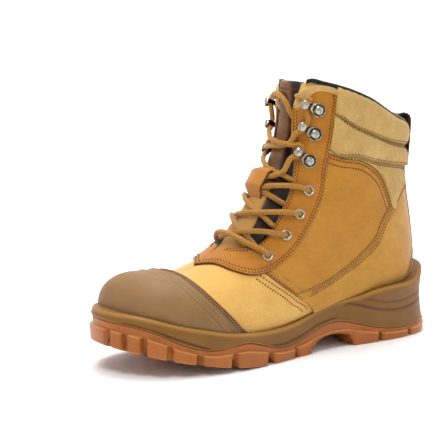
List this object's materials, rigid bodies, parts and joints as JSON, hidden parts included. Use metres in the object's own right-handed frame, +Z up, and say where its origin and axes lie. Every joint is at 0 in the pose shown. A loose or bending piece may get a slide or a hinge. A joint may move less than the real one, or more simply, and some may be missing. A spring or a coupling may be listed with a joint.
{
  "type": "safety_work_boot",
  "caption": "Laced ankle-high safety work boot for the left foot in wheat nubuck, with a rubber toe cap, padded collar, lace hooks and a two-part lugged sole.",
  "frame": {"origin": "on the floor under the centre of the heel", "axes": "+X to the toe, +Y to the outer side of the left foot, +Z up"},
  "size_m": [0.318, 0.1174, 0.2227],
  "materials": {
    "nubuck": "matte brushed nubuck, wheat",
    "dark_nubuck": "matte brushed nubuck, darker wheat",
    "pad_leather": "soft grained padding leather, light tan",
    "brown_leather": "pull-up leather with a low sheen, dark brown",
    "cap_rubber": "matte moulded rubber, taupe",
    "foam_rubber": "matte foamed midsole, olive brown",
    "gum_rubber": "satin gum rubber, amber orange",
    "insole_cloth": "matte woven cloth, near black",
    "lace_cloth": "round woven lace, wheat",
    "antique_metal": "antique pewter, worn satin"
  },
  "bodies": {
    "root": {"upper": "nubuck", "midsole": "foam_rubber", "outsole": "gum_rubber", "insole": "insole_cloth", "toe_cap": "cap_rubber", "eyestay": "dark_nubuck", "backstay": "nubuck", "counter_outer": "nubuck", "counter_inner": "nubuck", "quarter_outer": "dark_nubuck", "quarter_inner": "dark_nubuck", "collar_pad_outer": "pad_leather", "collar_pad_inner": "pad_leather", "tongue": "brown_leather", "lace_keeper": "dark_nubuck", "pull_loop": "brown_leather", "eyelet_outer_1": "antique_metal", "eyelet_outer_2": "antique_metal", "eyelet_outer_3": "antique_metal", "eyelet_outer_4": "antique_metal", "eyelet_inner_1": "antique_metal", "eyelet_inner_2": "antique_metal", "eyelet_inner_3": "antique_metal", "eyelet_inner_4": "antique_metal", "hook_outer_1": "antique_metal", "hook_outer_2": "antique_metal", "hook_outer_3": "antique_metal", "hook_inner_1": "antique_metal", "hook_inner_2": "antique_metal", "hook_inner_3": "antique_metal", "lace_bar_1": "lace_cloth", "lace_crossing_1": "lace_cloth", "lace_crossing_2": "lace_cloth", "lace_crossing_3": "lace_cloth", "lace_crossing_4": "lace_cloth", "lace_crossing_5": "lace_cloth", "lace_run_outer": "lace_cloth", "lace_run_inner": "lace_cloth"}
  },
  "joints": []
}
